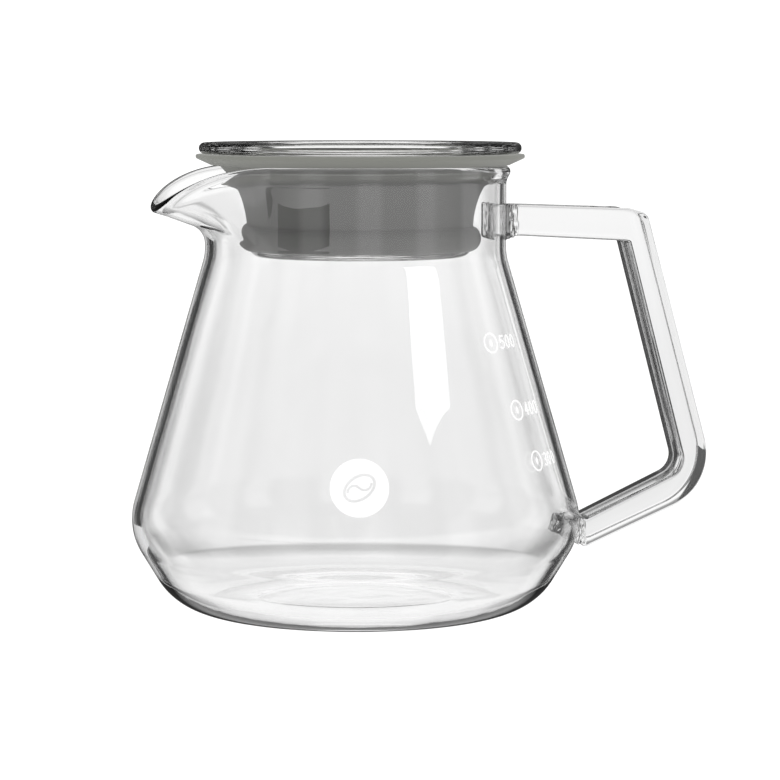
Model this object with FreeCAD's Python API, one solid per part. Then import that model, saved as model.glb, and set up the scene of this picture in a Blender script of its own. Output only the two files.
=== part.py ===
import FreeCAD, Part

import math
import os

# A clear glass coffee server: a blown vessel with a drawn-out pouring lip, a bent glass
# handle welded on at two places, a pressed glass lid whose hollow plug wears a silicone
# sleeve, and white enamel prints fired onto the glass.
# Millimetres, +Z up. The origin is the centre of the flat base. The handle points along +X
# and the pouring lip along -X; the printed roundel is 10 degrees from -Y towards the lip.

# Vessel
BASE_CORNER_RADIUS = 45.25
BASE_FILLET = 16.6
SHOULDER_VERTEX = (57.8, 20.8)
SHOULDER_FILLET = 15.7
NECK_RADIUS = 37.8
NECK_START = 89.55
NECK_FILLET = 12.6
RIM_HEIGHT = 111.8
WALL = 2.0
FLOOR = 2.6
BASE_RING_RADIUS = 24.6
BASE_RING_WIDTH = 1.4
BASE_RING_DEPTH = 0.35

# Collar: the stretch of neck that carries the rim bead and the pouring lip
COLLAR_START = 92.1
LIP_BEND_START = 92.2
LIP_BEND_RADIUS = 5.0
LIP_BEND_ANGLE = 70.0
LIP_HALF_SPAN = 48.0
LIP_SHORTENING = 2.2
BEAD_PROUD = 1.0
BEAD_REACH = 4.4
BEAD_LEFT_ON_LIP = 0.15
COLLAR_COLUMNS = 72

# Handle
BAR_WIDTH = 13.0
BAR_EDGE_FILLET = 1.6
UPPER_END_X = 41.0
LOWER_END_X = 58.9
UPPER_OUTER_CORNER = (69.4, 100.9)
SHOULDER_OUTER_CORNER = (74.4, 99.5)
LOWER_OUTER_CORNER = (93.5, 29.4)
LOWER_INNER_CORNER = (84.6, 34.1)
UPPER_INNER_CORNER = (69.3, 92.3)
TOP_BAR_UPPER_SLOPE = 0.036
TOP_BAR_LOWER_SLOPE = 0.056
FOOT_UPPER_SLOPE = 0.473
FOOT_LOWER_SLOPE = 0.43

# Lid. It rests loosely on the rim, a little towards the handle.
LID_SHIFT = 1.2
LID_RADIUS = 40.4
LID_UNDERSIDE = 114.7
LID_TOP = 117.5
PLUG_RADIUS = 27.7
PLUG_BOTTOM = 88.9
PLUG_WALL = 2.4
PLUG_FLOOR = 2.6
SLEEVE_CLEARANCE = 0.06
SLEEVE_BOTTOM = 90.6
SLEEVE_TOP = 114.6
SLEEVE_WAIST_RADIUS = 28.45
SLEEVE_WAIST = 96.6
SLEEVE_BEAD_RADIUS = 30.4
SLEEVE_FLARE_RADIUS = 20.0
SLEEVE_FLARE_ANGLE = 43.0
SLEEVE_SEAT = 111.85
FLANGE_RADIUS = 41.2
FLANGE_EDGE_BOTTOM = 113.65

# Prints
PRINT_GAP = 0.02
PRINT_THICKNESS = 0.08
BADGE_RADIUS = 7.0
BADGE_HEIGHT = 37.1
BADGE_AZIMUTH = -10.0
MARK_RING_RADIUS = 2.6
DIGIT_HEIGHT = 3.4
DIGIT_WIDTH = 1.9
DIGIT_PITCH = 2.5
STROKE = 0.45
MARKS = {300: (40.5, 47.1), 400: (53.0, 43.1), 500: (69.4, 37.7)}


def point(radius, height):
    """A point of a section drawn in the XZ plane."""
    return FreeCAD.Vector(radius, 0, height)


def rounded_edges(corners, fillets, closed):
    """Lines through the corners with a tangent arc of the given radius at each one."""
    count = len(corners)
    trimmed = []
    for i in range(count):
        here = corners[i]
        if fillets[i] <= 0:
            trimmed.append((here, None, here))
            continue
        back = (corners[i - 1] - here).normalize()
        ahead = (corners[(i + 1) % count] - here).normalize()
        half = back.getAngle(ahead) / 2
        reach = fillets[i] / math.tan(half)
        bisector = (back + ahead).normalize()
        middle = here + bisector * (fillets[i] / math.sin(half) - fillets[i])
        trimmed.append((here + back * reach, middle, here + ahead * reach))
    edges = []
    for i in range(count):
        start, middle, end = trimmed[i]
        if middle is not None:
            edges.append(Part.Arc(start, middle, end).toShape())
        following = trimmed[(i + 1) % count][0]
        last = i == count - 1 and not closed
        if not last and end.distanceToPoint(following) > 1e-6:
            edges.append(Part.LineSegment(end, following).toShape())
    return edges


def rounded_face(outline):
    """A flat face from a closed list of (radius, height, fillet)."""
    corners = [point(r, z) for r, z, fillet in outline]
    fillets = [fillet for r, z, fillet in outline]
    return Part.Face(Part.Wire(rounded_edges(corners, fillets, True)))


def turned(face):
    """The solid of revolution of a section about the vertical axis."""
    return face.revolve(FreeCAD.Vector(0, 0, 0), FreeCAD.Vector(0, 0, 1), 360)


def cone_radius(height):
    """Outer radius of the vessel's straight cone between shoulder and neck."""
    slope = (SHOULDER_VERTEX[0] - NECK_RADIUS) / (NECK_START - SHOULDER_VERTEX[1])
    return NECK_RADIUS + slope * (NECK_START - height)


CONE_HALF_ANGLE = math.atan2(SHOULDER_VERTEX[0] - NECK_RADIUS, NECK_START - SHOULDER_VERTEX[1])


def inset_corner(before, here, after, first_gap, second_gap):
    """Where the two lines that meet at a corner cross once each is moved inwards."""
    first = (here - before).normalize()
    second = (after - here).normalize()
    inward_first = FreeCAD.Vector(-first.z, 0, first.x)
    inward_second = FreeCAD.Vector(-second.z, 0, second.x)
    start = here + inward_first * first_gap
    target = here + inward_second * second_gap
    across = first.x * second.z - first.z * second.x
    step = (target - start)
    along = (step.x * second.z - step.z * second.x) / across
    return start + first * along


def vessel_lower():
    """Base, shoulder, cone and neck up to the collar, turned from one closed section."""
    outer = [
        point(0, 0),
        point(BASE_CORNER_RADIUS, 0),
        point(*SHOULDER_VERTEX),
        point(NECK_RADIUS, NECK_START),
        point(NECK_RADIUS, COLLAR_START),
    ]
    gaps = [FLOOR, WALL, WALL, WALL]
    inner = [point(0, FLOOR)]
    for i in range(1, 4):
        inner.append(inset_corner(outer[i - 1], outer[i], outer[i + 1], gaps[i - 1], gaps[i]))
    inner.append(point(NECK_RADIUS - WALL, COLLAR_START))
    outer_fillets = [0, BASE_FILLET, SHOULDER_FILLET, NECK_FILLET, 0]
    inner_fillets = [0, BASE_FILLET - WALL, SHOULDER_FILLET - WALL, NECK_FILLET + WALL, 0]
    half = BASE_RING_WIDTH / 2
    outer[1:1] = [
        point(BASE_RING_RADIUS - half, 0),
        point(BASE_RING_RADIUS - half / 3, BASE_RING_DEPTH),
        point(BASE_RING_RADIUS + half / 3, BASE_RING_DEPTH),
        point(BASE_RING_RADIUS + half, 0),
    ]
    outer_fillets[1:1] = [0, 0.2, 0.2, 0]
    corners = outer + inner[::-1]
    fillets = outer_fillets + inner_fillets[::-1]
    return turned(Part.Face(Part.Wire(rounded_edges(corners, fillets, True))))


def lip_weight(azimuth):
    """1 at the middle of the pouring lip, falling smoothly to 0 at the ends of its span."""
    away = abs(azimuth - 180.0)
    if away >= LIP_HALF_SPAN:
        return 0.0
    return math.cos(math.radians(90.0 * away / LIP_HALF_SPAN)) ** 2


def lip_path(travel, bend):
    """Point and outward normal on the outer wall: upright, then an arc, then straight."""
    upright = LIP_BEND_START - COLLAR_START
    if travel <= upright or bend < 1e-6:
        return (NECK_RADIUS, COLLAR_START + travel), (1.0, 0.0)
    turned_by = min((travel - upright) / LIP_BEND_RADIUS, bend)
    rest = travel - upright - turned_by * LIP_BEND_RADIUS
    normal = (math.cos(turned_by), -math.sin(turned_by))
    radius = NECK_RADIUS + LIP_BEND_RADIUS * (1 - normal[0]) - rest * normal[1]
    height = LIP_BEND_START - LIP_BEND_RADIUS * normal[1] + rest * normal[0]
    return (radius, height), normal


def bead_height(to_rim, weight):
    """How far the rim bead stands proud of the neck at a distance from the rim's end."""
    ease = max(0.0, min(1.0, 1 - to_rim / BEAD_REACH))
    ease = ease * ease * (3 - 2 * ease)
    full = min(1.0, ease * 1.6)
    return BEAD_PROUD * full * (1 - (1 - BEAD_LEFT_ON_LIP) * weight)


def collar_section(azimuth):
    """One meridian of the collar: up the outside, round the rim and down the inside."""
    weight = lip_weight(azimuth)
    bend = math.radians(LIP_BEND_ANGLE) * weight
    length = RIM_HEIGHT - COLLAR_START - LIP_SHORTENING * weight
    rim_half = (WALL + bead_height(0, weight)) / 2
    straight = length - rim_half
    steps = 28
    section = []
    for i in range(steps + 1):
        travel = straight * i / steps
        section.append((travel, bead_height(length - travel, weight)))
    section[-1] = (straight, bead_height(0, weight))
    turns = 10
    for i in range(1, turns):
        angle = math.pi * i / turns
        across = rim_half * math.cos(angle) + rim_half - WALL
        section.append((straight + rim_half * math.sin(angle), across))
    for i in range(steps, -1, -1):
        section.append((straight * i / steps, -WALL))
    turn = math.radians(azimuth)
    points = []
    for travel, proud in section:
        (radius, height), normal = lip_path(travel, bend)
        radius += proud * normal[0]
        height += proud * normal[1]
        points.append(FreeCAD.Vector(radius * math.cos(turn), radius * math.sin(turn), height))
    return points


def through(points, parameters, periodic):
    """The smooth curve that passes through the points at the given parameters."""
    curve = Part.BSplineCurve()
    curve.interpolate(Points=points, PeriodicFlag=periodic, Parameters=parameters)
    return curve


def collar():
    """The collar as one smooth surface through its meridians, closed by a flat ring below."""
    azimuths = [360.0 * i / COLLAR_COLUMNS for i in range(COLLAR_COLUMNS)]
    sections = [collar_section(azimuth) for azimuth in azimuths]
    rows = [float(i) for i in range(len(sections[0]))]
    meridians = [through(section, rows, False) for section in sections]
    turns = [float(i) for i in range(COLLAR_COLUMNS + 1)]
    rings = []
    for ring in zip(*[meridian.getPoles() for meridian in meridians]):
        rings.append(through(list(ring), turns, True))
    surface = Part.BSplineSurface()
    surface.buildFromPolesMultsKnots(
        [ring.getPoles() for ring in rings],
        meridians[0].getMultiplicities(), rings[0].getMultiplicities(),
        meridians[0].getKnots(), rings[0].getKnots(),
        False, True, meridians[0].Degree, rings[0].Degree)
    wall = surface.toShape()
    circles = [edge for edge in wall.Edges if edge.isClosed()]
    circles.sort(key=lambda edge: -edge.Length)
    foot = Part.Face([Part.Wire([circle]) for circle in circles])
    closed = Part.makeCompound([wall, foot])
    closed.sewShape(1e-4)
    return Part.Solid(closed.Shells[0])


def carafe_body():
    """The blown vessel: the turned body with the collar and its lip joined on."""
    return vessel_lower().fuse([collar()], 1e-4).Solids[0]


def vessel_blank():
    """The vessel's outer form without its hollow, for shaping what is welded to it."""
    return turned(rounded_face([
        (0, 0, 0),
        (BASE_CORNER_RADIUS, 0, BASE_FILLET),
        (SHOULDER_VERTEX[0], SHOULDER_VERTEX[1], SHOULDER_FILLET),
        (NECK_RADIUS, NECK_START, NECK_FILLET),
        (NECK_RADIUS, RIM_HEIGHT, 0),
        (0, RIM_HEIGHT, 0),
    ]))


def bar_end_heights(x, upper_corner, upper_slope, lower_corner, lower_slope):
    """Heights of a bar's upper and lower faces where it is cut off at x."""
    upper = upper_corner[1] + upper_slope * (x - upper_corner[0])
    lower = lower_corner[1] + lower_slope * (x - lower_corner[0])
    return upper, lower


def upper_end():
    return bar_end_heights(UPPER_END_X, UPPER_OUTER_CORNER, -TOP_BAR_UPPER_SLOPE,
                           UPPER_INNER_CORNER, -TOP_BAR_LOWER_SLOPE)


def lower_end():
    return bar_end_heights(LOWER_END_X, LOWER_INNER_CORNER, FOOT_UPPER_SLOPE,
                           LOWER_OUTER_CORNER, FOOT_LOWER_SLOPE)


def handle_bar():
    """The bent bar between the two welds, of rounded rectangular section."""
    top_upper, top_lower = upper_end()
    foot_upper, foot_lower = lower_end()
    face = rounded_face([
        (UPPER_END_X, top_upper, 0),
        (UPPER_OUTER_CORNER[0], UPPER_OUTER_CORNER[1], 4.0),
        (SHOULDER_OUTER_CORNER[0], SHOULDER_OUTER_CORNER[1], 3.0),
        (LOWER_OUTER_CORNER[0], LOWER_OUTER_CORNER[1], 15.0),
        (LOWER_END_X, foot_lower, 0),
        (LOWER_END_X, foot_upper, 0),
        (LOWER_INNER_CORNER[0], LOWER_INNER_CORNER[1], 4.5),
        (UPPER_INNER_CORNER[0], UPPER_INNER_CORNER[1], 1.0),
        (UPPER_END_X, top_lower, 0),
    ])
    face.translate(FreeCAD.Vector(0, -BAR_WIDTH / 2, 0))
    bar = face.extrude(FreeCAD.Vector(0, BAR_WIDTH, 0))
    long_edges = []
    for edge in bar.Edges:
        box = edge.BoundBox
        on_side = box.YLength < 1e-6
        on_end = box.XLength < 1e-6 and box.XMin < LOWER_END_X + 1e-6
        if on_side and not on_end:
            long_edges.append(edge)
    return bar.makeFillet(BAR_EDGE_FILLET, long_edges)


def rounded_section(x, z_middle, height, width, fillet):
    """A rounded rectangle standing across the X axis."""
    half_height = height / 2
    half_width = width / 2
    corners = [
        FreeCAD.Vector(x, -half_width, z_middle - half_height),
        FreeCAD.Vector(x, half_width, z_middle - half_height),
        FreeCAD.Vector(x, half_width, z_middle + half_height),
        FreeCAD.Vector(x, -half_width, z_middle + half_height),
    ]
    return Part.Wire(rounded_edges(corners, [fillet] * 4, True))


def weld(sections):
    """A gather of glass lofted through (x, z, height, width, fillet) and seated on the vessel."""
    wires = [rounded_section(*section) for section in sections]
    return Part.makeLoft(wires, True, False).cut(vessel_blank())


def handle_weld_upper():
    top_upper, top_lower = upper_end()
    middle = (top_upper + top_lower) / 2
    height = top_upper - top_lower
    return weld([
        (34.0, middle - 0.6, height + 2.6, BAR_WIDTH + 8.0, 3.8),
        (38.0, middle - 0.5, height + 2.0, BAR_WIDTH + 4.6, 3.4),
        (39.8, middle - 0.2, height + 1.0, BAR_WIDTH + 1.6, 2.4),
        (UPPER_END_X, middle, height + 0.3, BAR_WIDTH + 0.3, 1.7),
    ])


def handle_weld_lower():
    foot_upper, foot_lower = lower_end()
    middle = (foot_upper + foot_lower) / 2
    height = foot_upper - foot_lower
    return weld([
        (48.0, middle + 1.4, height + 1.6, BAR_WIDTH + 7.0, 3.4),
        (54.0, middle + 1.0, height + 1.5, BAR_WIDTH + 4.6, 3.2),
        (57.4, middle + 0.4, height + 0.9, BAR_WIDTH + 2.0, 2.4),
        (LOWER_END_X, middle, height + 0.3, BAR_WIDTH + 0.3, 1.7),
    ])


def lid_glass():
    """The pressed lid: a round-edged disc with a hollow plug, open at the top."""
    edge = (LID_TOP - LID_UNDERSIDE) / 2 - 0.01
    return turned(rounded_face([
        (0, PLUG_BOTTOM, 0),
        (PLUG_RADIUS, PLUG_BOTTOM, 2.5),
        (PLUG_RADIUS, LID_UNDERSIDE, 0.8),
        (LID_RADIUS, LID_UNDERSIDE, edge),
        (LID_RADIUS, LID_TOP, edge),
        (PLUG_RADIUS - PLUG_WALL, LID_TOP, 1.2),
        (PLUG_RADIUS - PLUG_WALL, PLUG_BOTTOM + PLUG_FLOOR, 2.0),
        (0, PLUG_BOTTOM + PLUG_FLOOR, 0),
    ]))


def lid_sleeve():
    """The silicone sleeve: a round foot bead, a waist, a trumpet flare and a thin flange."""
    bore = PLUG_RADIUS + SLEEVE_CLEARANCE
    waist = point(SLEEVE_WAIST_RADIUS, SLEEVE_WAIST)
    foot = point(SLEEVE_WAIST_RADIUS, SLEEVE_BOTTOM)
    bead_crest = point(SLEEVE_BEAD_RADIUS, (SLEEVE_WAIST + SLEEVE_BOTTOM) / 2)
    flare = []
    for share in (0.5, 1.0):
        turn = math.radians(SLEEVE_FLARE_ANGLE * share)
        flare.append(waist + FreeCAD.Vector(SLEEVE_FLARE_RADIUS * (1 - math.cos(turn)), 0,
                                            SLEEVE_FLARE_RADIUS * math.sin(turn)))
    flare_end = flare[1]
    rise = SLEEVE_SEAT - flare_end.z
    seat_radius = flare_end.x + rise * math.tan(math.radians(SLEEVE_FLARE_ANGLE))
    corners = [
        flare_end,
        point(seat_radius, SLEEVE_SEAT),
        point(seat_radius + 2.0, SLEEVE_SEAT),
        point(FLANGE_RADIUS, FLANGE_EDGE_BOTTOM),
        point(FLANGE_RADIUS, SLEEVE_TOP),
        point(bore + 1.2, SLEEVE_TOP),
        point(bore, SLEEVE_TOP - 1.2),
        point(bore, SLEEVE_BOTTOM),
        foot,
    ]
    edges = rounded_edges(corners, [0, 1.0, 1.5, 0.4, 0.4, 0, 0, 0, 0], False)
    edges.append(Part.Arc(foot, bead_crest, waist).toShape())
    edges.append(Part.Arc(waist, flare[0], flare_end).toShape())
    return turned(Part.Face(Part.Wire(edges)))


def seated(shape):
    """A part of the lid moved from the vessel's axis to where it rests."""
    shape.translate(FreeCAD.Vector(LID_SHIFT, 0, 0))
    return shape


def print_layer():
    """The thin conical skin that every print is cut from."""
    low = 28.5
    high = 87.0
    stretch = 1 / math.cos(CONE_HALF_ANGLE)
    near = PRINT_GAP * stretch
    far = (PRINT_GAP + PRINT_THICKNESS) * stretch
    base = FreeCAD.Vector(0, 0, low)
    outside = Part.makeCone(cone_radius(low) + far, cone_radius(high) + far, high - low, base)
    inside = Part.makeCone(cone_radius(low) + near, cone_radius(high) + near, high - low, base)
    return outside.cut(inside)


def on_cone(shape, height, azimuth, across=0.0):
    """Place a flat print on the cone; azimuth runs from -Y towards +X, across to the right."""
    turn = math.radians(azimuth) + across / cone_radius(height)
    radial = FreeCAD.Vector(math.sin(turn), -math.cos(turn), 0)
    right = FreeCAD.Vector(math.cos(turn), math.sin(turn), 0)
    upward = FreeCAD.Vector(0, 0, 1)
    slant = upward * math.cos(CONE_HALF_ANGLE) - radial * math.sin(CONE_HALF_ANGLE)
    normal = radial * math.cos(CONE_HALF_ANGLE) + upward * math.sin(CONE_HALF_ANGLE)
    place = radial * cone_radius(height) + upward * height
    matrix = FreeCAD.Matrix(right.x, slant.x, normal.x, place.x,
                            right.y, slant.y, normal.y, place.y,
                            right.z, slant.z, normal.z, place.z,
                            0, 0, 0, 1)
    placed = shape.copy()
    placed.Placement = FreeCAD.Placement(matrix)
    return placed


def flat(x, y):
    """A point of a print drawn flat: x to the right, y up the slope."""
    return FreeCAD.Vector(x, y, -1.5)


def slab(face):
    return face.extrude(FreeCAD.Vector(0, 0, 2.5))


def ellipse_slab(x, y, half_width, half_height):
    """An upright or lying ellipse as a slab."""
    if half_width >= half_height:
        curve = Part.Ellipse(flat(x, y), half_width, half_height)
        shape = curve.toShape()
    else:
        curve = Part.Ellipse(flat(x, y), half_height, half_width)
        shape = curve.toShape()
        shape.rotate(flat(x, y), FreeCAD.Vector(0, 0, 1), 90)
    return slab(Part.Face(Part.Wire([shape])))


def ring_slab(x, y, half_width, half_height, line):
    outside = ellipse_slab(x, y, half_width, half_height)
    return outside.cut(ellipse_slab(x, y, half_width - line, half_height - line))


def line_stroke(points):
    """A pen line of round-ended straight runs through the points."""
    half = STROKE / 2
    pieces = []
    for start, end in zip(points, points[1:]):
        along = (end - start).normalize()
        side = FreeCAD.Vector(-along.y, along.x, 0) * half
        corners = [start + side, end + side, end - side, start - side, start + side]
        pieces.append(slab(Part.Face(Part.makePolygon(corners))))
    for place in points:
        circle = Part.Circle(place, FreeCAD.Vector(0, 0, 1), half)
        pieces.append(slab(Part.Face(Part.Wire([circle.toShape()]))))
    return pieces[0].fuse(pieces[1:])


def arc_stroke(x, y, radius, start, end, line=STROKE):
    """A pen line along an arc, from the start angle to the end angle in degrees."""
    upward = FreeCAD.Vector(0, 0, 1)
    outer = Part.Circle(flat(x, y), upward, radius + line / 2)
    inner = Part.Circle(flat(x, y), upward, radius - line / 2)
    first = math.radians(start)
    last = math.radians(end)
    outer_arc = outer.toShape(first, last)
    inner_arc = inner.toShape(first, last)
    sides = [Part.LineSegment(outer_arc.valueAt(first), inner_arc.valueAt(first)).toShape(),
             Part.LineSegment(outer_arc.valueAt(last), inner_arc.valueAt(last)).toShape()]
    wire = Part.Wire(Part.__sortEdges__([outer_arc, sides[0], inner_arc, sides[1]]))
    return slab(Part.Face(wire))


def digit(value):
    """A single digit drawn with a round pen, its middle at the origin."""
    half_height = (DIGIT_HEIGHT - STROKE) / 2
    half_width = (DIGIT_WIDTH - STROKE) / 2
    if value == 0:
        return ring_slab(0, 0, DIGIT_WIDTH / 2, DIGIT_HEIGHT / 2, STROKE)
    if value == 3:
        small = half_height / 2
        upper = arc_stroke(0, small, small, -90, 150)
        return upper.fuse(arc_stroke(0, -small, small, -150, 90))
    if value == 4:
        upright = line_stroke([flat(0.3, -half_height), flat(0.3, half_height)])
        arm = line_stroke([flat(0.3, half_height), flat(-half_width, -0.5), flat(half_width, -0.5)])
        return upright.fuse(arm)
    bowl = half_height * 0.62
    flag = line_stroke([flat(half_width, half_height), flat(-half_width * 0.8, half_height),
                        flat(-half_width * 0.9, bowl - half_height + 0.55)])
    return flag.fuse(arc_stroke(-0.1, bowl - half_height, bowl, -140, 135))


def bean(x, y, half_width, half_height):
    """A small pointed drop: the overlap of two round slabs."""
    radius = (half_width ** 2 + half_height ** 2) / (2 * half_width)
    shift = radius - half_width
    left = ellipse_slab(x - shift, y, radius, radius)
    return left.common(ellipse_slab(x + shift, y, radius, radius))


def scale_mark(value):
    """Ring, drop and number of one graduation, as separate solids on the cone."""
    height, azimuth = MARKS[value]
    layer = print_layer()
    drawn = [
        (ring_slab(0, 0, MARK_RING_RADIUS, MARK_RING_RADIUS, STROKE), 0.0),
        (bean(0, 0, 0.5, 1.0), 0.0),
    ]
    for place, letter in enumerate(str(value)):
        across = MARK_RING_RADIUS + 1.9 + place * DIGIT_PITCH
        drawn.append((digit(int(letter)), across))
    solids = []
    for shape, across in drawn:
        solids += on_cone(shape, height, azimuth, across).common(layer).Solids
    return Part.makeCompound(solids)


def badge_print():
    """A plain roundel: a solid disc with a coffee bean drawn in it as a clear line."""
    disc = ellipse_slab(0, 0, BADGE_RADIUS, BADGE_RADIUS)
    groove = ring_slab(0, 0, 4.3, 3.0, 0.7)
    crease = arc_stroke(-1.6, -0.2, 1.6, 5, 150, 0.6).fuse(arc_stroke(1.6, 0.2, 1.6, 185, 330, 0.6))
    drawing = groove.fuse(crease)
    drawing.rotate(FreeCAD.Vector(0, 0, 0), FreeCAD.Vector(0, 0, 1), 35)
    placed = on_cone(disc.cut(drawing), BADGE_HEIGHT, BADGE_AZIMUTH)
    return Part.makeCompound(placed.common(print_layer()).Solids)


def build():
    """Every node of the server by name."""
    nodes = {
        "carafe_body": carafe_body(),
        "handle_bar": handle_bar(),
        "handle_weld_upper": handle_weld_upper(),
        "handle_weld_lower": handle_weld_lower(),
        "lid_glass": seated(lid_glass()),
        "lid_sleeve": seated(lid_sleeve()),
        "badge_print": badge_print(),
    }
    for value in MARKS:
        nodes["scale_mark_%d" % value] = scale_mark(value)
    return nodes


os.makedirs("parts", exist_ok=True)
for name, shape in build().items():
    shape.exportStep("parts/%s.step" % name)
    box = shape.optimalBoundingBox()
    print("%-18s solids %d valid %s volume %.1f box %.2f %.2f %.2f to %.2f %.2f %.2f" % (
        name, len(shape.Solids), shape.isValid(), shape.Volume,
        box.XMin, box.YMin, box.ZMin, box.XMax, box.YMax, box.ZMax))
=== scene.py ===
import math

import bpy
import numpy as np
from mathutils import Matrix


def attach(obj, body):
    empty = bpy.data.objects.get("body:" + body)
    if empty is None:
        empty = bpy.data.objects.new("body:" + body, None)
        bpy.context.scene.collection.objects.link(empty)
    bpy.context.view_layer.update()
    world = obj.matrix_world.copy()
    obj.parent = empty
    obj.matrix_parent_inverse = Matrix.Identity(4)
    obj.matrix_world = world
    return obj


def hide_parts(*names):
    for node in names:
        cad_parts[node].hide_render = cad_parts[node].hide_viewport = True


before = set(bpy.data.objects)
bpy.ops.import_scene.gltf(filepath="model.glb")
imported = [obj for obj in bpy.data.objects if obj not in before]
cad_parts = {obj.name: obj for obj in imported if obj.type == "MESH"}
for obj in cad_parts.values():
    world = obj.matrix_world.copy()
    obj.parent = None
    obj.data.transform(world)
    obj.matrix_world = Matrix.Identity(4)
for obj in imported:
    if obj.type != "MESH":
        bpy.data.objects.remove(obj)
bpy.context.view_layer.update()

MM = 0.001

# ---------------------------------------------------------------- camera

camera_data = bpy.data.cameras.new("camera")
camera_data.sensor_width = 36.0
camera_data.lens = 139.46
camera_data.shift_x = 0.0442
camera_data.shift_y = -0.0156
camera_data.clip_end = 20.0
camera = bpy.data.objects.new("camera", camera_data)
# It stands 11 degrees round from -Y towards -X, the lip's side, and looks down by 5.3 degrees.
camera_turn = math.radians(11)
camera_reach = 0.759
camera_down = 5.287
camera.location = (-camera_reach * math.sin(camera_turn), -camera_reach * math.cos(camera_turn), 0.1285)
camera.rotation_euler = (math.radians(90 - camera_down), 0.0, -camera_turn)
scene = bpy.context.scene
scene.collection.objects.link(camera)
scene.camera = camera


# ---------------------------------------------------------------- small tools

def smooth(t):
    """Eases from 0 to 1: three t squared less two t cubed, held at its ends."""
    t = np.clip(t, 0.0, 1.0)
    return t * t * (3 - 2 * t)


def rounded_line(corners, closed=False, arc_step=6.0, line_step=1.2):
    """Points along a path of (x, z, fillet) corners in millimetres. Each corner is replaced by
    the arc of its fillet radius that touches both of its sides, and each side is divided
    evenly, so every tangent point is a point of the path."""
    spot = np.array([c[:2] for c in corners], float)
    count = len(corners)
    parts = []
    for i, corner in enumerate(corners):
        fillet = corner[2]
        at_end = not closed and i in (0, count - 1)
        if fillet <= 0 or at_end:
            parts.append(spot[i][None])
            continue
        back = spot[i - 1] - spot[i]
        ahead = spot[(i + 1) % count] - spot[i]
        back, ahead = back / np.linalg.norm(back), ahead / np.linalg.norm(ahead)
        half = math.acos(np.clip(back @ ahead, -1, 1)) / 2
        centre = spot[i] + (back + ahead) / np.linalg.norm(back + ahead) * fillet / math.sin(half)
        first = spot[i] + back * fillet / math.tan(half) - centre
        turn = math.pi - 2 * half
        side = np.sign(-back[0] * ahead[1] + back[1] * ahead[0])
        steps = max(2, int(math.ceil(math.degrees(turn) / arc_step)))
        angle = side * turn * np.linspace(0, 1, steps + 1)
        cos, sin = np.cos(angle), np.sin(angle)
        parts.append(centre + np.stack([first[0] * cos - first[1] * sin,
                                        first[0] * sin + first[1] * cos], 1))
    path = [parts[0]]
    ring = parts[1:] + ([parts[0][:1]] if closed else [])
    for last, part in zip(parts, ring):
        start, end = last[-1], part[0]
        steps = max(1, int(np.linalg.norm(end - start) / line_step))
        if np.linalg.norm(end - start) > 1e-6:
            path.append(start + (end - start) * np.linspace(0, 1, steps + 1)[1:, None])
        path.append(part[1:])
    points = np.concatenate(path)
    return points[:-1] if closed else points


def grid_mesh(name, grid, first_pole=None, last_pole=None, ring_rows=False):
    """A closed mesh from a grid of points (rows, columns, xyz) in millimetres. The columns run
    round and join up. The first and last rows are fanned to a pole, or joined to each other
    if the rows run round too. The faces are turned outwards by the sign of the volume."""
    rows, columns = grid.shape[:2]
    index = np.arange(rows * columns).reshape(rows, columns)
    below, above = index[:-1], index[1:]
    if ring_rows:
        below, above = index, np.roll(index, -1, 0)
    quads = np.stack([below, np.roll(below, -1, -1), np.roll(above, -1, -1), above], -1).reshape(-1, 4)
    verts = grid.reshape(-1, 3)
    fans = []
    for pole, row, order in ((first_pole, index[0], 1), (last_pole, index[-1], -1)):
        if pole is not None:
            tip = np.full(columns, len(verts))
            verts = np.concatenate([verts, np.array(pole, float)[None]])
            fans.append(np.stack([tip, np.roll(row, -1), row][::order], -1))
    tris = np.concatenate(fans) if fans else np.zeros((0, 3), int)
    halves = np.concatenate([quads[:, [0, 1, 2]], quads[:, [0, 2, 3]], tris])
    a, b, c = (verts[halves[:, k]] for k in range(3))
    if np.einsum("ij,ij->i", a, np.cross(b, c)).sum() < 0:
        quads, tris = quads[:, ::-1], tris[:, ::-1]
    mesh = bpy.data.meshes.new(name)
    mesh.vertices.add(len(verts))
    mesh.vertices.foreach_set("co", (verts * MM).ravel())
    mesh.loops.add(quads.size + tris.size)
    mesh.loops.foreach_set("vertex_index", np.concatenate([quads.ravel(), tris.ravel()]))
    mesh.polygons.add(len(quads) + len(tris))
    starts = np.concatenate([np.arange(len(quads)) * 4, quads.size + np.arange(len(tris)) * 3])
    mesh.polygons.foreach_set("loop_start", starts)
    mesh.polygons.foreach_set("use_smooth", np.ones(len(starts), bool))
    mesh.update(calc_edges=True)
    mesh.validate()
    obj = bpy.data.objects.new(name, mesh)
    scene.collection.objects.link(obj)
    return obj


def turned(profile, columns, centre=0.0):
    """Rows of circles: each (radius, height) of the profile swept once round a vertical axis
    that stands at x = centre."""
    angle = np.linspace(0, 2 * np.pi, columns, endpoint=False)
    radius, height = profile[:, 0:1], profile[:, 1:2]
    return np.stack([centre + radius * np.cos(angle), radius * np.sin(angle),
                     height + 0 * angle], -1)


# ---------------------------------------------------------------- vessel

NECK = 37.8
WALL = 2.0
FLOOR = 2.6
RIM = 111.8
COLLAR = 92.1
LIP_ANGLE = math.radians(70)
LIP_HALF_SPAN = 48
LIP_BEND = 5.0
LIP_SHORTER_BY = 2.2
BEND_STARTS = 0.1
BEAD_PROUD = 1.0
BEAD_REACH = 4.4
BEAD_STEEPNESS = 1.6
BEAD_LOST_ON_LIP = 0.85
BASE_FILLET, SHOULDER_FILLET, NECK_FILLET = 16.6, 15.7, 12.6
VESSEL_COLUMNS = 384
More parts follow.
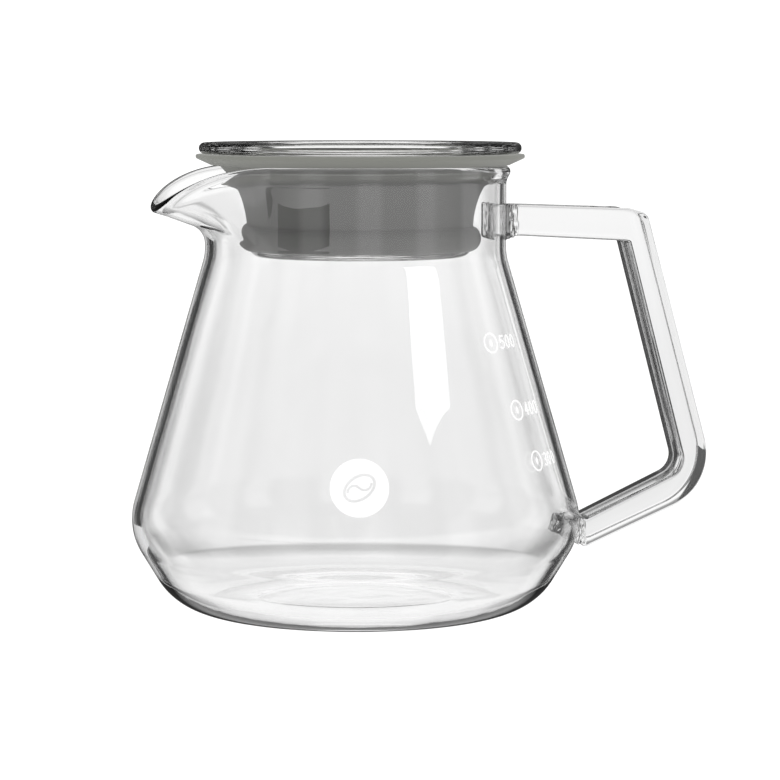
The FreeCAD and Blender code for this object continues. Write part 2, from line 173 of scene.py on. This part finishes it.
# Draws the vessel a hair under full size, so that it stays inside the box of the CAD model.
SHRINK = 0.9998
OUTER_CORNERS = [(0, 0, 0), (45.25, 0, BASE_FILLET), (57.8, 20.8, SHOULDER_FILLET),
                 (NECK, 89.55, NECK_FILLET), (NECK, COLLAR, 0)]
# The moulded ring under the base: a shallow groove, as (radius, height, fillet).
BASE_RING = [(23.6, 0, 0), (24.3, 0.05, 1.2), (24.9, 0.05, 1.2), (25.6, 0, 0)]


def inner_corners():
    """The outer corners moved inwards by the wall, or by the floor under the base, each at the
    crossing of its two moved sides, with fillets that keep the wall even."""
    spot = np.array([c[:2] for c in OUTER_CORNERS], float)
    gaps = [FLOOR, WALL, WALL, WALL]
    fillets = [BASE_FILLET - WALL, SHOULDER_FILLET - WALL, NECK_FILLET + WALL]
    corners = [(0, FLOOR, 0)]
    for i in (1, 2, 3):
        first = spot[i] - spot[i - 1]
        second = spot[i + 1] - spot[i]
        first, second = first / np.linalg.norm(first), second / np.linalg.norm(second)
        start = spot[i] + np.array([-first[1], first[0]]) * gaps[i - 1]
        target = spot[i] + np.array([-second[1], second[0]]) * gaps[i]
        across = first[0] * second[1] - first[1] * second[0]
        step = target - start
        along = (step[0] * second[1] - step[1] * second[0]) / across
        corners.append((*(start + first * along), fillets[i - 1]))
    return corners + [(NECK - WALL, COLLAR, 0)]


def collar_rows(columns):
    """The collar as rows of (x, y, z). The way up from the neck is upright, then an arc of 5 mm
    whose angle grows to 70 degrees at the lip, then straight. The lip's share falls off as the
    squared cosine over 48 degrees each side. A bead stands proud of the outside near the rim: it
    rises as 1.6 times the smooth ease over its reach, held at its full height. The rim is a half
    circle, and the inside runs back down one wall thickness in."""
    angle = np.linspace(0, 2 * np.pi, columns, endpoint=False)
    away = np.abs(np.degrees(angle) - 180)
    weight = np.where(away < LIP_HALF_SPAN, np.cos(np.radians(90 * away / LIP_HALF_SPAN)) ** 2, 0.0)
    bend = LIP_ANGLE * weight
    length = RIM - COLLAR - LIP_SHORTER_BY * weight
    bead_full = BEAD_PROUD - BEAD_LOST_ON_LIP * weight
    half = (WALL + bead_full) / 2
    straight = length - half
    share = np.linspace(0, 1, 41)[1:, None]
    up = straight * share
    ease = smooth(1 - (length - up) / BEAD_REACH)
    proud = np.minimum(1, BEAD_STEEPNESS * ease) * bead_full
    proud[-1] = bead_full
    cap = np.linspace(0, np.pi, 17)[1:-1, None]
    travel = np.concatenate([up, straight + half * np.sin(cap), straight * share[::-1]])
    proud = np.concatenate([proud, half * np.cos(cap) + half - WALL, -WALL + 0 * up])
    past = np.maximum(travel - BEND_STARTS, 0)
    turn = np.minimum(past / LIP_BEND, bend)
    rest = past - LIP_BEND * turn
    radius = NECK + LIP_BEND * (1 - np.cos(turn)) + rest * np.sin(turn) + proud * np.cos(turn)
    height = (COLLAR + np.minimum(travel, BEND_STARTS) + LIP_BEND * np.sin(turn) + rest * np.cos(turn)
              - proud * np.sin(turn))
    return np.stack([radius * np.cos(angle), radius * np.sin(angle), height], -1)


def make_vessel():
    """The vessel: its outer profile turned once round from the base's centre to the collar, the
    collar's rows over the rim, and the inner profile turned back down to the floor's centre."""
    outside = rounded_line(OUTER_CORNERS[:1] + BASE_RING + OUTER_CORNERS[1:], arc_step=3, line_step=3)
    inside = rounded_line(inner_corners(), arc_step=3, line_step=3)[::-1]
    grid = np.concatenate([turned(outside[1:], VESSEL_COLUMNS), collar_rows(VESSEL_COLUMNS),
                           turned(inside[:-1], VESSEL_COLUMNS)])
    return grid_mesh("vessel_blown_glass", grid * SHRINK, (0, 0, 0), (0, 0, FLOOR))


# ---------------------------------------------------------------- handle

BAR_HALF = 6.5
BAR_DEPTH_HALF = 3.4
BAR_EDGE = 0.7
# The crown of the inner face and the hollow of the outer one, as shares of the half depth.
INNER_CROWN, OUTER_HOLLOW = 0.09, 0.12
# How far each weld ends inside the vessel's wall, so that no gap is left between them.
WELD_SINK = 0.12
TOP_CUT, FOOT_CUT = 41.0, 58.9
# A height between the two welds: the neck is read above it, the belly below.
MID_HEIGHT = 60
# The flat of the base is left out of the belly's profile, up to this radius.
BASE_FLAT = 44
# The folds of a weld: depth in mm, turns along it, turns round it, and share of the seed.
FOLDS = [(0.20, 17, 3, 1), (0.16, 29, -5, 2), (0.12, 11, 9, 1)]
OUTER_RAIL = [(TOP_CUT, 101.92, 0), (69.4, 100.9, 4.0), (74.4, 99.5, 3.0), (93.5, 29.4, 15.0),
              (FOOT_CUT, 14.52, 0)]
INNER_RAIL = [(TOP_CUT, 93.88, 0), (69.3, 92.3, 1.0), (84.6, 34.1, 4.5), (FOOT_CUT, 21.94, 0)]


def wall_radius(height):
    """Outer radius of the vessel at a height: the profile of its outside, read by interpolation."""
    outside = rounded_line(OUTER_CORNERS, arc_step=1, line_step=1)
    rising = outside[outside[:, 0] > BASE_FLAT]
    belly = np.interp(height, rising[:, 1], rising[:, 0])
    neck = outside[outside[:, 1] > MID_HEIGHT]
    return np.where(height > MID_HEIGHT, np.interp(height, neck[:, 1], neck[:, 0]), belly)


def resampled(path, count):
    """Count points spaced evenly along a path."""
    run = np.concatenate([[0], np.cumsum(np.linalg.norm(np.diff(path, axis=0), axis=1))])
    even = np.linspace(0, run[-1], count)
    return np.stack([np.interp(even, run, path[:, k]) for k in (0, 1)], 1)


def rails():
    """Matching points of the handle's outer and inner edge. Each straight run and each bend is
    divided into the same number of steps on both. A bend starts and ends where its arcs touch
    the straights: the distance from the corner is the fillet over the tangent of half the
    corner's angle."""
    def cut(corners, bends):
        """The edge, cut where each bend starts and ends."""
        path = rounded_line(corners, arc_step=1.5, line_step=0.8)
        starts = []
        for first, last in bends:
            for i, j in ((first, first - 1), (last, last + 1)):
                here, other = np.array(corners[i][:2]), np.array(corners[j][:2])
                p, q = np.array(corners[i - 1][:2]), np.array(corners[i + 1][:2])
                u, v = (p - here) / np.linalg.norm(p - here), (q - here) / np.linalg.norm(q - here)
                half = math.acos(u @ v) / 2
                touch = here + (other - here) / np.linalg.norm(other - here) * corners[i][2] / math.tan(half)
                starts.append(int(np.argmin(np.linalg.norm(path - touch, axis=1))))
        marks = [0] + starts + [len(path) - 1]
        return [path[a:b + 1] for a, b in zip(marks, marks[1:])]
    counts = (30, 22, 60, 40, 30)
    outer = cut(OUTER_RAIL, ((1, 2), (3, 3)))
    inner = cut(INNER_RAIL, ((1, 1), (2, 2)))
    pair = []
    for pieces in (outer, inner):
        runs = [resampled(piece, n)[0 if k == 0 else 1:] for k, (piece, n) in enumerate(zip(pieces, counts))]
        pair.append(np.concatenate(runs))
    return pair


def bar_section():
    """A rounded rectangle as (across, along) from -1 to 1: across the bar's 13 mm width and from
    its inner to its outer face. The inner face is crowned and the outer one slightly hollow,
    each as the square of the way across. How much of each was chosen."""
    corners = [(-BAR_HALF, -BAR_DEPTH_HALF, BAR_EDGE), (BAR_HALF, -BAR_DEPTH_HALF, BAR_EDGE),
               (BAR_HALF, BAR_DEPTH_HALF, BAR_EDGE), (-BAR_HALF, BAR_DEPTH_HALF, BAR_EDGE)]
    ring = rounded_line(corners, closed=True, arc_step=8, line_step=0.4)
    across, along = ring[:, 0] / BAR_HALF, ring[:, 1] / BAR_DEPTH_HALF
    crown = INNER_CROWN * across ** 2 * (1 - along) / 2
    hollow = OUTER_HOLLOW * (1 - across ** 2) * (1 + along) / 2
    return across, along + crown - hollow


def weld_rows(outer, inner, across, along, flare, grow, drop, seed):
    """The run from a cut end of the bar to the vessel's wall. The section widens with the square
    of the way, its points slide from the cut plane to the wall, and three sine waves of
    unequal length wrinkle it, like glass that was melted on and pushed. Flare and grow are
    how far it widens in mm, across and along, drop is how far it climbs, down if negative,
    and seed shifts the waves. A cap closes it, shrunk in even steps on to the wall."""
    way = np.linspace(0, 1, 22)[1:, None]
    middle, half = (outer + inner) / 2, (outer - inner) / 2
    round_it = np.arctan2(along, across)
    wrinkle = np.sin(np.pi * np.clip(way * 1.15, 0, 1)) * sum(
        depth * np.sin(forward * way + about * round_it + share * seed)
        for depth, forward, about, share in FOLDS)
    y = across * (BAR_HALF + flare * way ** 2 + wrinkle)
    z = middle[1] + drop * way + along * (half[1] + grow * way ** 1.5 + wrinkle * 0.7)
    x_cut = middle[0] + along * half[0]
    x_wall = np.sqrt(wall_radius(z) ** 2 - y ** 2) - WELD_SINK
    x = x_cut + (x_wall - x_cut) * way
    gather = np.stack([x, y, z], -1)
    shrink = np.linspace(1, 0, 9)[1:-1, None]
    centre_z = middle[1] + drop
    cap_y = gather[-1, :, 1] * shrink
    cap_z = centre_z + (gather[-1, :, 2] - centre_z) * shrink
    cap_x = np.sqrt(wall_radius(cap_z) ** 2 - cap_y ** 2) - WELD_SINK
    cap = np.stack([cap_x, cap_y, cap_z], -1)
    pole = (float(wall_radius(np.array([centre_z]))[0]) - WELD_SINK, 0, centre_z)
    return np.concatenate([gather, cap]), pole


def make_handle():
    """The bar: its rounded section stretched between the two rails, with a weld at each end."""
    outer, inner = rails()
    across, along = bar_section()
    middle, half = (outer + inner) / 2, (outer - inner) / 2
    x = middle[:, 0:1] + along * half[:, 0:1]
    z = middle[:, 1:2] + along * half[:, 1:2]
    bar = np.stack([x, across * BAR_HALF + 0 * x, z], -1)
    top, top_pole = weld_rows(outer[0], inner[0], across, along, flare=2.6, grow=0.7, drop=-0.4, seed=0.7)
    foot, foot_pole = weld_rows(outer[-1], inner[-1], across, along, flare=1.8, grow=0.9, drop=0.8, seed=2.1)
    grid = np.concatenate([top[::-1], bar, foot])
    return grid_mesh("handle_drawn_glass", grid, top_pole, foot_pole)


# ---------------------------------------------------------------- lid

LID_X = 1.2
LID_COLUMNS = 256
PLUG = 27.7
PLUG_WALL = 2.4
PLUG_BOTTOM, PLUG_INSIDE = 88.9, 91.5
DISC, DISC_BOTTOM, DISC_TOP, DISC_EDGE = 40.4, 114.7, 117.5, 1.38
BORE = PLUG + 0.06
FOOT, BEAD = 90.6, 30.4
WAIST, WAIST_HEIGHT = 28.45, 96.6
FLARE, LEAN = 20.0, math.radians(43)
SEAT_HEIGHT, SEAT_WIDTH = 111.85, 2.0
FLANGE, FLANGE_BOTTOM, FLANGE_TOP = 41.2, 113.65, 114.6


def make_lid():
    """The pressed lid: a round-edged disc whose hollow plug is open at the top, turned about
    its own axis."""
    inside = PLUG - PLUG_WALL
    corners = [(0, PLUG_BOTTOM, 0), (PLUG, PLUG_BOTTOM, 2.5), (PLUG, DISC_BOTTOM, 0.8),
               (DISC, DISC_BOTTOM, DISC_EDGE), (DISC, DISC_TOP, DISC_EDGE), (inside, DISC_TOP, 1.2),
               (inside, PLUG_INSIDE, 2.0), (0, PLUG_INSIDE, 0)]
    profile = rounded_line(corners, arc_step=6, line_step=2)
    grid = turned(profile[1:-1], LID_COLUMNS, LID_X)
    return grid_mesh("lid_pressed_glass", grid, (LID_X, 0, PLUG_BOTTOM), (LID_X, 0, PLUG_INSIDE))


def make_sleeve():
    """The sleeve's section, turned: a foot bead as one arc, a waist, a trumpet arc to 43 degrees,
    a straight run to the seat, the flange, and the straight bore."""
    bead_half = (WAIST_HEIGHT - FOOT) / 2
    proud = BEAD - WAIST
    bead_radius = (bead_half ** 2 + proud ** 2) / (2 * proud)
    reach = math.asin(bead_half / bead_radius)
    swing = np.linspace(-reach, reach, 25)
    bead = np.stack([BEAD - bead_radius * (1 - np.cos(swing)),
                     FOOT + bead_half + bead_radius * np.sin(swing)], 1)
    turn = np.linspace(0, LEAN, 21)[1:]
    trumpet = np.stack([WAIST + FLARE * (1 - np.cos(turn)), WAIST_HEIGHT + FLARE * np.sin(turn)], 1)
    end = trumpet[-1]
    seat = end[0] + (SEAT_HEIGHT - end[1]) * math.tan(LEAN)
    corners = [(end[0], end[1], 0), (seat, SEAT_HEIGHT, 1.0), (seat + SEAT_WIDTH, SEAT_HEIGHT, 1.5),
               (FLANGE, FLANGE_BOTTOM, 0.4), (FLANGE, FLANGE_TOP, 0.4), (BORE + 1.2, FLANGE_TOP, 0),
               (BORE, FLANGE_TOP - 1.2, 0), (BORE, FOOT, 0)]
    rest = rounded_line(corners, arc_step=8, line_step=1.5)
    profile = np.concatenate([bead, trumpet, rest[1:], [[WAIST - 0.35, FOOT]]])
    return grid_mesh("sleeve_moulded_silicone", turned(profile, LID_COLUMNS, LID_X), ring_rows=True)


# ---------------------------------------------------------------- finishes

def linear(code):
    """An sRGB hex colour as linear RGBA: the standard curve, with its straight foot."""
    value = np.array([int(code[i:i + 2], 16) for i in (1, 3, 5)]) / 255
    value = np.where(value <= 0.04045, value / 12.92, ((value + 0.055) / 1.055) ** 2.4)
    return (*value, 1.0)


def add(tree, kind, inputs=None, **settings):
    """Adds a node, sets its settings, and fills its inputs with values or links."""
    node = tree.nodes.new(kind)
    for key, value in settings.items():
        setattr(node, key, value)
    for key, value in (inputs or {}).items():
        if isinstance(value, bpy.types.NodeSocket):
            tree.links.new(value, node.inputs[key])
        else:
            node.inputs[key].default_value = value
    return node


def new_material(name):
    """An empty material of that name, and its node tree."""
    material = bpy.data.materials.new(name)
    material.use_nodes = True
    material.node_tree.nodes.clear()
    return material, material.node_tree


def glass(name, pale, deep, wave_mm, wave_height_mm, stretch):
    """Clear, smooth glass, almost colourless. Slow waves bend what is seen through it a little,
    and its tint drifts between pale and deep along them. A stretch under 1 draws the waves out
    along that axis, and one over 1 crowds them."""
    material, tree = new_material(name)
    place = add(tree, "ShaderNodeTexCoord").outputs["Object"]
    stretched = add(tree, "ShaderNodeMapping", {"Vector": place, "Scale": stretch})
    waves = add(tree, "ShaderNodeTexNoise", {"Vector": stretched.outputs[0], "Scale": 1 / (wave_mm * MM),
                                             "Detail": 2.0, "Roughness": 0.45})
    bump = add(tree, "ShaderNodeBump", {"Height": waves.outputs[0], "Distance": wave_height_mm * MM,
                                        "Strength": 1.0})
    tint = add(tree, "ShaderNodeMix", {"Factor": waves.outputs[0], 6: linear(pale), 7: linear(deep)},
               data_type="RGBA")
    shader = add(tree, "ShaderNodeBsdfPrincipled", {
        "Base Color": tint.outputs[2], "Transmission Weight": 1.0, "IOR": 1.473, "Roughness": 0.0,
        "Normal": bump.outputs[0]})
    add(tree, "ShaderNodeOutputMaterial", {"Surface": shader.outputs[0]})
    return material


def silicone():
    """Compression-moulded silicone: matte mid grey, a little cloudy, with a very fine grain.
    Between two heights it goes over to a paler grey, so that the flange is lighter than the rest.
    The darker greys below the flange, where the sleeve sits inside the glass neck under the lid,
    are painted shade. All three greys are given here, and a real moulding may well have one."""
    painted_shade_fades_from, painted_shade_gone_at = 109 * MM, 113 * MM
    material, tree = new_material("sleeve_grey_silicone_moulded")
    place = add(tree, "ShaderNodeTexCoord").outputs["Object"]
    grain = add(tree, "ShaderNodeTexNoise", {"Vector": place, "Scale": 1 / (0.6 * MM), "Detail": 2.0})
    cloud = add(tree, "ShaderNodeTexNoise", {"Vector": place, "Scale": 1 / (14 * MM), "Detail": 3.0})
    # Painted shade: these two darker greys stand for the shade on the sleeve inside the glass neck; the
    # cloud between them is the silicone's own uneven tone.
    body = add(tree, "ShaderNodeMix", {"Factor": cloud.outputs[0], 6: linear("#515150"),
                                       7: linear("#5a5a58")}, data_type="RGBA")
    height = add(tree, "ShaderNodeSeparateXYZ", {"Vector": place}).outputs[2]
    upper = add(tree, "ShaderNodeMapRange", {"Value": height, "From Min": painted_shade_fades_from,
                                             "From Max": painted_shade_gone_at})
    # Painted shade below 109 mm, going over by 113 mm to the flange's own paler grey.
    tone = add(tree, "ShaderNodeMix", {"Factor": upper.outputs[0], 6: body.outputs[2], 7: linear("#777872")},
               data_type="RGBA")
    bump = add(tree, "ShaderNodeBump", {"Height": grain.outputs[0], "Distance": 0.02 * MM, "Strength": 0.6})
    shader = add(tree, "ShaderNodeBsdfPrincipled", {
        "Base Color": tone.outputs[2], "Roughness": 0.7, "Specular IOR Level": 0.3, "IOR": 1.41,
        "Sheen Weight": 0.15, "Normal": bump.outputs[0]})
    add(tree, "ShaderNodeOutputMaterial", {"Surface": shader.outputs[0]})
    return material


def enamel():
    """Ceramic enamel, screen printed and fired on: opaque soft white, a little cloudy and
    uneven, with a low gloss."""
    material, tree = new_material("print_white_fired_enamel")
    place = add(tree, "ShaderNodeTexCoord").outputs["Object"]
    cloud = add(tree, "ShaderNodeTexNoise", {"Vector": place, "Scale": 1 / (1.1 * MM), "Detail": 3.0})
    tone = add(tree, "ShaderNodeMix", {"Factor": cloud.outputs[0], 6: linear("#fafafa"),
                                       7: linear("#efefee")}, data_type="RGBA")
    bump = add(tree, "ShaderNodeBump", {"Height": cloud.outputs[0], "Distance": 0.015 * MM, "Strength": 0.5})
    shader = add(tree, "ShaderNodeBsdfPrincipled", {
        "Base Color": tone.outputs[2], "Roughness": 0.42, "IOR": 1.52, "Normal": bump.outputs[0]})
    add(tree, "ShaderNodeOutputMaterial", {"Surface": shader.outputs[0]})
    return material


VESSEL_GLASS = glass("vessel_clear_borosilicate_blown", "#fefefe", "#fafafa", 9.0, 0.03, (1.0, 1.0, 0.22))
HANDLE_GLASS = glass("handle_clear_borosilicate_drawn", "#f1f1f1", "#ececec", 12.0, 0.008, (1.0, 1.0, 1.0))
LID_GLASS = glass("lid_clear_glass_pressed", "#fdfdfc", "#f7f7f6", 5.0, 0.04, (1.0, 1.0, 1.6))
SILICONE = silicone()
ENAMEL = enamel()


# ---------------------------------------------------------------- the object

def finish_piece(obj, material, body, slot, *nodes):
    """Gives a drawn piece its material and the body it rides on, and hides the nodes it replaces. The slot
    is not used.
    """
    obj.data.materials.append(material)
    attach(obj, body)
    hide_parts(*nodes)
    return obj


vessel = finish_piece(make_vessel(), VESSEL_GLASS, "vessel", "vessel_glass", "carafe_body")
handle = finish_piece(make_handle(), HANDLE_GLASS, "vessel", "handle_glass",
                      "handle_bar", "handle_weld_upper", "handle_weld_lower")
lid = finish_piece(make_lid(), LID_GLASS, "lid", "lid_glass", "lid_glass")
finish_piece(make_sleeve(), SILICONE, "sleeve", "sleeve_silicone", "lid_sleeve")
# The glass throws no shadow here, and light between matte surfaces passes it by, so the floor
# stays plain under it.
for piece in (vessel, handle, lid):
    piece.visible_shadow = False
    piece.visible_diffuse = False
for name in ("badge_print", "scale_mark_300", "scale_mark_400", "scale_mark_500"):
    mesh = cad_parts[name].data
    mesh.materials.clear()
    mesh.materials.append(ENAMEL)


# ---------------------------------------------------------------- studio

def plain_floor():
    """A pale paper floor that the camera sees, but the glass does not."""
    bpy.ops.mesh.primitive_plane_add(size=16.0, location=(0, 0, -0.0002))
    floor = bpy.context.object
    floor.name = "studio_floor"
    material, tree = new_material("studio_floor_paper")
    shader = add(tree, "ShaderNodeBsdfDiffuse", {"Color": linear("#fbfbfb")})
    add(tree, "ShaderNodeOutputMaterial", {"Surface": shader.outputs[0]})
    floor.data.materials.append(material)
    floor.visible_glossy = False
    floor.visible_transmission = False


def glass_only(obj, reflected, seen_through):
    """Seen in reflections or through glass as asked, but neither by the camera nor as a shadow."""
    obj.visible_camera = False
    obj.visible_diffuse = False
    obj.visible_shadow = False
    obj.visible_volume_scatter = False
    obj.visible_glossy = reflected
    obj.visible_transmission = seen_through


def surround(name, radius, around, on_light, off_light, reflected):
    """A sphere round everything that gives out light by direction. Round the circle, in degrees
    from straight behind the object, it goes between its on and its off columns as around says,
    and each of the two has its own brightness by height. All three are lists of (degrees,
    level) stops: an angle over its span, plus a half, is its place from 0 to 1 on the ramp."""
    bpy.ops.mesh.primitive_uv_sphere_add(segments=96, ring_count=48, radius=radius)
    dome = bpy.context.object
    dome.name = name
    material, tree = new_material(name + "_light")
    place = add(tree, "ShaderNodeTexCoord").outputs["Object"]
    unit = add(tree, "ShaderNodeVectorMath", {0: place}, operation="NORMALIZE")
    axes = add(tree, "ShaderNodeSeparateXYZ", {0: unit.outputs[0]})
    azimuth = add(tree, "ShaderNodeMath", {0: axes.outputs[0], 1: axes.outputs[1]}, operation="ARCTAN2")
    elevation = add(tree, "ShaderNodeMath", {0: axes.outputs[2]}, operation="ARCSINE")
    levels = []
    parts = ((azimuth, 360, around), (elevation, 180, off_light), (elevation, 180, on_light))
    for angle, span, stops in parts:
        share = add(tree, "ShaderNodeMath", {0: angle.outputs[0], 1: 1 / math.radians(span), 2: 0.5},
                    operation="MULTIPLY_ADD")
        ramp = add(tree, "ShaderNodeValToRGB", {0: share.outputs[0]})
        elements = ramp.color_ramp.elements
        while len(elements) < len(stops):
            elements.new(0.5)
        for element, (degrees, level) in zip(elements, stops):
            element.position = degrees / span + 0.5
            element.color = (level, level, level, 1)
        levels.append(ramp.outputs[0])
    light = add(tree, "ShaderNodeMix", {0: levels[0], 6: levels[1], 7: levels[2]}, data_type="RGBA")
    shader = add(tree, "ShaderNodeEmission", {"Color": light.outputs[2], "Strength": 1.0})
    add(tree, "ShaderNodeOutputMaterial", {"Surface": shader.outputs[0]})
    dome.data.materials.append(material)
    glass_only(dome, reflected, not reflected)


def card(name, corners, level, distance, reflected):
    """A flat card through the given (azimuth, elevation) corners, in degrees from the front
    towards the handle and above the horizon."""
    turn, rise = np.radians(np.array(corners, float)).T
    spots = distance * np.stack([np.sin(turn) * np.cos(rise), -np.cos(turn) * np.cos(rise), np.sin(rise)], 1)
    mesh = bpy.data.meshes.new(name)
    mesh.from_pydata(spots.tolist(), [], [tuple(range(len(spots)))])
    obj = bpy.data.objects.new(name, mesh)
    scene.collection.objects.link(obj)
    material, tree = new_material(name + "_light")
    shader = add(tree, "ShaderNodeEmission", {"Color": (1, 1, 1, 1), "Strength": level})
    add(tree, "ShaderNodeOutputMaterial", {"Surface": shader.outputs[0]})
    mesh.materials.append(material)
    glass_only(obj, reflected, not reflected)


# Seen through the glass: a lit panel about every 45 degrees with a dark gap beside it, so that
# the glass is bright where it is looked straight through and dark where it bends the view
# aside. The panel behind the object is the widest and is fitted to the main view, so the
# other views are lit less closely.
PANELS = [(-173, 1), (-168, 0), (-147, 0), (-141, 1), (-129, 1), (-123, 0), (-103, 0), (-97, 1),
          (-83, 1), (-77, 0), (-58, 0), (-52, 1), (-38, 1), (-32, 0), (-7, 0), (-4, 1), (27, 1), (29, 0),
          (40, 0), (44, 1), (54, 1), (58, 0), (77, 0), (83, 1), (97, 1), (103, 0), (123, 0), (129, 1),
          (140, 1), (144, 0), (168, 0), (173, 1)]
PANEL_LIGHT = [(-90, 1.0), (-20, 0.95), (-14, 0.95), (-11.5, 0.50), (-9, 0.94), (-4, 0.96), (0, 1.10),
               (19, 1.10), (26, 0.30), (68, 0.25), (76, 1.2)]
GAP_LIGHT = [(-90, 0.95), (-40, 0.90), (-25, 0.06), (30, 0.03), (60, 0.10), (76, 1.2)]
# Reflected: a light belt in front of the object, dim above and below, and dark behind it.
FRONT = [(-125, 1), (-85, 0), (85, 0), (125, 1)]
FRONT_LIGHT = [(-90, 0.95), (-22, 0.90), (-12, 1.8), (7, 2.4), (14, 0.35), (45, 0.20), (68, 0.25), (78, 1.0)]
BACK_LIGHT = [(-90, 0.95), (-32, 0.90), (-24, 0.06), (60, 0.06), (80, 0.8)]

plain_floor()
surround("studio_seen_through_glass", 5.0, PANELS, PANEL_LIGHT, GAP_LIGHT, False)
surround("studio_seen_in_reflection", 4.5, FRONT, FRONT_LIGHT, BACK_LIGHT, True)
card("tall_window", [(29.1, 29.5), (55.3, 26.3), (48.7, 23.4), (32.7, 24.3), (25.9, 26.0)], 5.0, 1.6, True)
card("dark_flag", [(-71, 3.0), (-30, 3.0), (-30, 1.75), (-71, 1.75)], 0.02, 1.2, True)
card("low_fill", [(184, -8), (207, -8), (207, -17), (184, -17)], 0.95, 4.0, False)

world = bpy.data.worlds.new("studio")
scene.world = world
world.use_nodes = True
background = world.node_tree.nodes["Background"]
background.inputs["Color"].default_value = (1, 1, 1, 1)
background.inputs["Strength"].default_value = 1.25

scene.view_settings.view_transform = "Standard"
scene.cycles.max_bounces = 24
scene.cycles.transmission_bounces = 24
scene.cycles.glossy_bounces = 12
scene.cycles.diffuse_bounces = 4
scene.cycles.caustics_reflective = True
scene.cycles.caustics_refractive = True
